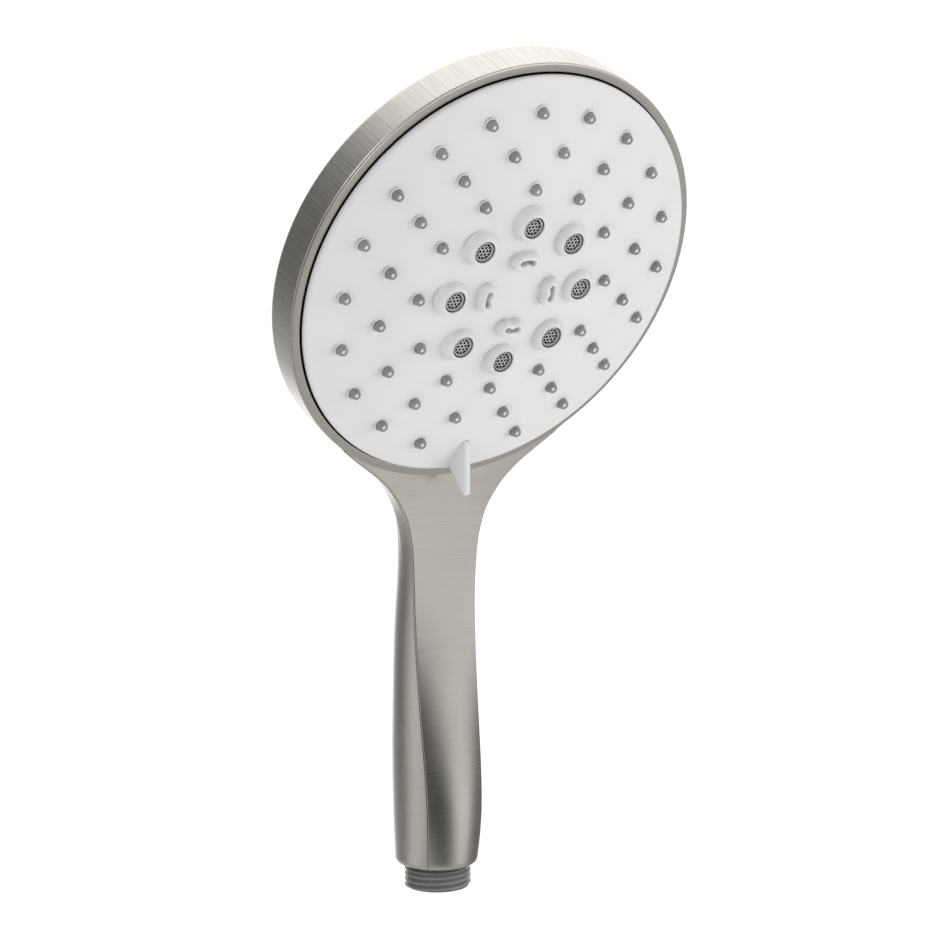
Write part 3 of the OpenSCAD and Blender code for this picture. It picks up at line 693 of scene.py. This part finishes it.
def massage_pad(build, middle):
    """Raised pad with a kidney slot, as a fine relief in polar coordinates."""
    angle = np.linspace(-0.62, 0.62, 131)
    radius = np.linspace(6.6, 16.0, 95)
    a, r = np.meshgrid(angle, radius)
    along = PAD_R * a
    across = r - PAD_R
    half_long, half_wide = 4.7, 2.85
    pinch = 0.5 * np.exp(-((along / 1.7) ** 2)) * smooth(0.5 - across / 2)
    x = np.maximum(np.abs(along) - (half_long - half_wide), 0)
    reach = np.hypot(x, across / (1 - pinch / half_wide * 0.8))
    body = np.clip((half_wide - reach) / half_wide, 0, 1)
    height = 3.0 * np.sqrt(np.clip(1 - (1 - np.clip(body / 0.55, 0, 1)) ** 2.2, 0, 1)) - 0.05
    height = np.where(body <= 0, -0.3, height)
    waist = 0.5 * np.exp(-((along / 1.15) ** 2)) * smooth(0.5 - (across - 0.1) / 0.5)
    slot = np.hypot(np.maximum(np.abs(along) - 1.75, 0), across - 0.1) - 0.78 + waist
    height = height - 0.35 * smooth(0.5 - (slot - 0.35) / 0.5) * (body > 0)
    cut = smooth(0.5 - slot / 0.2)
    height = height * (1 - cut) + (-0.4) * cut
    level = dome_level(r) + height
    turn = a + middle
    points = from_face(r * np.sin(turn), -r * np.cos(turn), level)
    build.grid(points, flip=True)


def make_fin():
    """Selector fin at the bottom of the face: the hull of balls, with a flat ridge and flanks that widen."""
    # Right, up in the face, outward, radius; each ball is on both sides
    balls = [
        (0.72, -55.6, 5.5, 0.5), (0.72, -70.3, 11.0, 0.5), (0.0, -70.2, 10.6, 1.22), (0.0, -70.7, 9.6, 1.1),
        (2.1, -64.6, 1.9, 0.5), (1.0, -66.2, 1.9, 0.4), (0.72, -56.0, 4.0, 0.5),
    ]
    points = []
    for x, v, w, r in balls:
        for sign in (1, -1):
            for lat in np.radians(np.linspace(-90, 90, 15)):
                for lon in np.radians(np.arange(0, 360, 15)):
                    points.append((sign * x + r * math.cos(lat) * math.cos(lon),
                                   v + r * math.cos(lat) * math.sin(lon), w + r * math.sin(lat)))
    points = np.array(points)
    mesh = bpy.data.meshes.new("selector_fin")
    mesh.from_pydata((from_face(points[:, 0], points[:, 1], points[:, 2]) * MM).tolist(), [], [])
    bm = bmesh.new()
    bm.from_mesh(mesh)
    bmesh.ops.remove_doubles(bm, verts=bm.verts, dist=1e-6)
    hull = bmesh.ops.convex_hull(bm, input=bm.verts)
    inside = [g for g in hull["geom_interior"] if isinstance(g, bmesh.types.BMVert)]
    bmesh.ops.delete(bm, geom=inside, context="VERTS")
    bm.to_mesh(mesh)
    bm.free()
    mesh.materials.append(white_plastic)
    mesh.shade_smooth()
    mesh.set_sharp_from_angle(angle=math.radians(35))
    obj = bpy.data.objects.new("selector_fin", mesh)
    bpy.context.collection.objects.link(obj)
    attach(obj, "spray_face")


def make_face():
    """Spray face: dome with its edge, collars for the aerators, beads round the nozzles and slot pads."""
    build = Builder()
    angles = np.linspace(0, 2 * math.pi, 361)[:-1]
    # Skirt of the face up to w = 0.35 takes slot 1: near-black painted shade for the gap inside the ring.
    skirt = np.stack([polar(FACE_R, angles, w) for w in (-4.4, 0.35)])
    build.grid(skirt, closed=True, slot=1)
    edge = [(FACE_R, 0.35), (FACE_R, 1.0), (FACE_R - 0.05, 1.4), (FACE_R - 0.2, 1.75), (FACE_R - 0.48, 2.02)]
    radii = np.linspace(FACE_R - 1.2, 0.4, 90)
    rows = [polar(r, angles, w) for r, w in edge] + [polar(r, angles, dome_level(r)) for r in radii]
    build.grid(np.stack(rows), closed=True)
    build.fan(rows[-1], polar(0.0, np.zeros(1), dome_level(0.0)))
    for u, v in aerator_places():
        base = dome_level(math.hypot(u, v))
        profile = [
            (5.95, -0.5), (5.55, -0.1), (5.38, 0.4), (5.24, 0.95), (5.0, 1.55), (4.65, 2.1),
            (4.25, 2.52), (3.9, 2.74), (3.66, 2.76), (3.54, 2.62), (3.5, 2.35), (3.5, 1.2),
        ]
        lathe(build, profile, u, v, base, steps=56)
    for u, v in nozzle_places():
        base = dome_level(math.hypot(u, v))
        profile = [(2.3, -0.08), (2.2, 0.06), (2.08, 0.17), (1.95, 0.2), (1.84, 0.14), (1.8, 0.0), (1.8, -0.9)]
        lathe(build, profile, u, v, base, steps=28)
    for k in range(PADS):
        massage_pad(build, 2 * math.pi / PADS * k)
    obj = build.make("spray_face", [white_plastic, painted_recess_shade], sharp=50)
    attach(obj, "spray_face")
    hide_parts("face_plate")


def make_nozzles():
    """Silicone nozzles: a foot in near-black painted shade, two tiers, and a bore floor in white plastic as
    painted light showing in the hole.
    """
    build = Builder()
    for u, v in nozzle_places():
        base = dome_level(math.hypot(u, v))
        # Foot: near-black painted shade where the nozzle meets the face.
        foot = [(1.82, -0.35), (1.78, -0.1), (1.76, 0.12)]
        tiers = [
            (1.76, 0.12), (1.74, 0.75), (1.66, 0.95), (1.52, 1.03), (1.48, 1.08), (1.45, 1.75),
            (1.36, 2.0), (1.18, 2.1), (0.8, 2.1), (0.66, 2.04), (0.6, 1.93),
        ]
        # Bore floor in white plastic: painted light, the hole shown lit.
        bore = [(0.6, 1.93), (0.55, 1.86), (0.0, 1.86)]
        lathe(build, foot, u, v, base, steps=24, slot=1)
        lathe(build, tiers, u, v, base, steps=24)
        lathe(build, bore, u, v, base, steps=24, slot=2)
    obj = build.make("spray_nozzles", [silicone, nozzle_foot_shade, white_plastic], sharp=55)
    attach(obj, "spray_face")
    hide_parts("nozzle_mat")


def hex_cell(build, u, v, level, outer, inner, slot):
    """One honeycomb cell: a flat hexagon ring and its hole, walled and floored in near-black painted shade."""
    a = np.radians(np.arange(6) * 60 + 30)
    rows = []
    for r, h in ((outer, 0.0), (inner + 0.05, 0.0), (inner, -0.06), (inner, -1.6)):
        rows.append(from_face(u + r * np.cos(a), v + r * np.sin(a), level + h))
    build.grid(np.stack(rows[:3]), closed=True, flip=True)
    build.grid(np.stack(rows[2:]), closed=True, slot=slot, flip=True)
    build.fan(rows[-1], from_face(u, v, level - 1.6)[None], slot=slot)


def make_aerators():
    """Near-black rings in the collars, painted shade of the recess round each insert, and honeycomb inserts
    over wells in near-black painted shade.
    """
    sleeves, grids = Builder(), Builder()
    for u, v in aerator_places():
        base = dome_level(math.hypot(u, v))
        # Ring between collar and insert: near-black painted shade of the recess there.
        ring = [(3.46, 1.2), (3.46, 2.2), (3.4, 2.3), (3.26, 2.3), (3.2, 2.2), (3.18, 1.6)]
        lathe(sleeves, ring, u, v, base, steps=48)
        insert = [(3.1, 1.3), (3.1, 2.1), (3.03, 2.24), (2.88, 2.3), (2.72, 2.24), (2.64, 2.08), (2.6, 1.8)]
        lathe(grids, insert, u, v, base, steps=48)
        # Well under the insert in slot 1: near-black painted shade.
        well = [(2.6, 1.8), (2.58, 0.3), (0.0, 0.3)]
        lathe(grids, well, u, v, base, steps=48, slot=1)
        outer = CELL_PITCH / math.sqrt(3) * 1.01
        for i in range(-2, 3):
            for j in range(-2, 3):
                x, y = CELL_PITCH * (i + j / 2), CELL_PITCH * j * 0.866
                if math.hypot(x, y) < 2.2:
                    hex_cell(grids, u + x, v + y, base + 1.8, outer, CELL_HOLE, 1)
    obj = sleeves.make("aerator_rings", [aerator_ring_shade], sharp=50)
    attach(obj, "spray_face")
    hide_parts("aerator_sleeves")
    obj = grids.make("aerator_honeycombs", [grid_plastic, painted_recess_shade], sharp=35)
    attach(obj, "spray_face")
    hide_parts("aerator_grids")


make_face()
make_fin()
make_nozzles()
make_aerators()


# ---------------------------------------------------------------- threaded inlet

def make_inlet():
    """Inlet with a true helical thread, a chamfered start and a plain flange in the handle."""
    build = Builder()
    pitch, crest, root, top = 1.814, 10.38, 9.24, 7.3
    angles = np.linspace(0, 2 * math.pi, 145)
    levels = np.linspace(0.0, top, 90)
    a, z = np.meshgrid(angles, levels)
    phase = ((z - 0.2 - pitch * a / (2 * math.pi)) / pitch) % 1.0
    tooth = np.clip(1.32 - np.abs(phase - 0.5) * 2.95, 0, 1)
    runout = smooth((6.9 - z) / 0.8)
    start = np.minimum(1, 0.35 + z / 0.55)
    r = root + (crest - root) * tooth * runout * start
    thread = np.stack([r * np.sin(a), -r * np.cos(a), z], -1)
    build.grid(thread, np.stack([a * 10, z], -1))

    def turned(profile):
        """Turned shape round the handle's axis: profile is (radius, height)."""
        rows = [np.stack([rr * np.sin(angles), -rr * np.cos(angles), np.full_like(angles, zz)], -1)
                for rr, zz in profile]
        build.grid(np.stack(rows))

    turned([(6.15, 28.0), (6.15, 0.5), (6.3, 0.15), (6.6, 0.0), (8.9, 0.0), (root + 0.4, 0.0)])
    turned([(root, top), (9.0, 7.4), (9.0, 9.9), (10.1, 9.9), (10.1, 11.8), (8.6, 12.0), (8.6, 30.0)])
    obj = build.make("threaded_inlet", [thread_plastic], sharp=50)
    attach(obj, "handle")
    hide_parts("hose_inlet")


make_inlet()


# ---------------------------------------------------------------- floor, light and camera

def make_floor():
    """Pale floor that lights itself a little, so that it shows white."""
    bpy.ops.mesh.primitive_plane_add(size=40, location=(0, 0, -0.16))
    floor = bpy.context.object
    floor.name = "floor"
    material = moulded("pale_floor", (0.95, 0.95, 0.95), 0.8, grain=40, bump=0.0, shift=0.01,
                       Emission_Strength=0.11)
    floor.data.materials.append(material)
    floor.visible_glossy = False


# Studio light: its even level, its least level, and broad lobes with direction, cosine of their edge, strength
EVEN_LIGHT, LEAST_LIGHT = 0.54, 0.04
LOBES = [
    ((0.45, 0.35, 0.8), 0.45, 1.1), ((-0.95, 0.1, -0.25), 0.82, 0.2), ((-0.68, 0.7, 0.16), 0.66, -0.36),
    ((0.50, 0.84, -0.22), 0.82, 1.1), ((-0.34, -0.92, -0.2), 0.76, -0.47), ((0.62, -0.76, -0.18), 0.86, 0.38),
    ((0.93, 0.1, -0.18), 0.76, -0.36), ((-0.73, -0.25, 0.6), 0.9, 1.6), ((-0.9, -0.25, 0.25), 0.92, 0.8),
]


def make_world():
    """Even studio light, brighter and darker in a few broad directions."""
    world = bpy.data.worlds.new("studio")
    bpy.context.scene.world = world
    world.use_nodes = True
    tree = world.node_tree
    direction = node(tree, "ShaderNodeTexCoord").outputs["Generated"]
    total = EVEN_LIGHT
    for aim, spread, amount in LOBES:
        aim = Vector(aim).normalized()
        dot = node(tree, "ShaderNodeVectorMath", {0: direction, 1: aim}, operation="DOT_PRODUCT")
        inputs = {"Value": dot.outputs["Value"], "From Min": spread, "From Max": 1.0,
                  "To Min": 0.0, "To Max": amount}
        lobe = node(tree, "ShaderNodeMapRange", inputs, interpolation_type="SMOOTHSTEP")
        add = node(tree, "ShaderNodeMath", {0: total, 1: lobe.outputs["Result"]}, operation="ADD")
        total = add.outputs[0]
    strength = node(tree, "ShaderNodeMath", {0: total, 1: LEAST_LIGHT}, operation="MAXIMUM")
    background = tree.nodes["Background"]
    background.inputs["Color"].default_value = (1, 1, 1, 1)
    tree.links.new(strength.outputs[0], background.inputs["Strength"])


LIGHT_TARGET = (0, -0.03, 0.17)
LIGHT_SIZE = 0.8


def add_light(name, place, power):
    """Square light that leaves no reflection of itself."""
    data = bpy.data.lights.new(name, "AREA")
    data.shape = "RECTANGLE"
    data.size, data.size_y = LIGHT_SIZE, LIGHT_SIZE
    data.energy = power
    light = bpy.data.objects.new(name, data)
    bpy.context.collection.objects.link(light)
    light.location = place
    light.rotation_euler = (Vector(LIGHT_TARGET) - Vector(place)).to_track_quat("-Z", "Y").to_euler()
    light.visible_glossy = False


def make_camera():
    """Camera at the photograph's viewing angle, fitted to the circles of the ring and the nozzles."""
    data = bpy.data.cameras.new("camera")
    data.lens = 169.8
    data.sensor_width = 36
    camera = bpy.data.objects.new("camera", data)
    bpy.context.collection.objects.link(camera)
    right = Vector((0.8275, -0.5614, -0.0100))
    up = Vector((0.1092, 0.1434, 0.9836))
    back = Vector((-0.5508, -0.8150, 0.1800))
    matrix = Matrix((right, up, back)).transposed().to_4x4()
    matrix.translation = Vector((-0.7462, -1.1246, 0.3794))
    camera.matrix_world = matrix
    bpy.context.scene.camera = camera


make_floor()
make_world()
add_light("key", (-0.5, -1.1, 1.1), 0.5)
add_light("fill", (0.9, -0.8, 0.1), 6.4)
make_camera()
bpy.context.scene.view_settings.view_transform = "Standard"
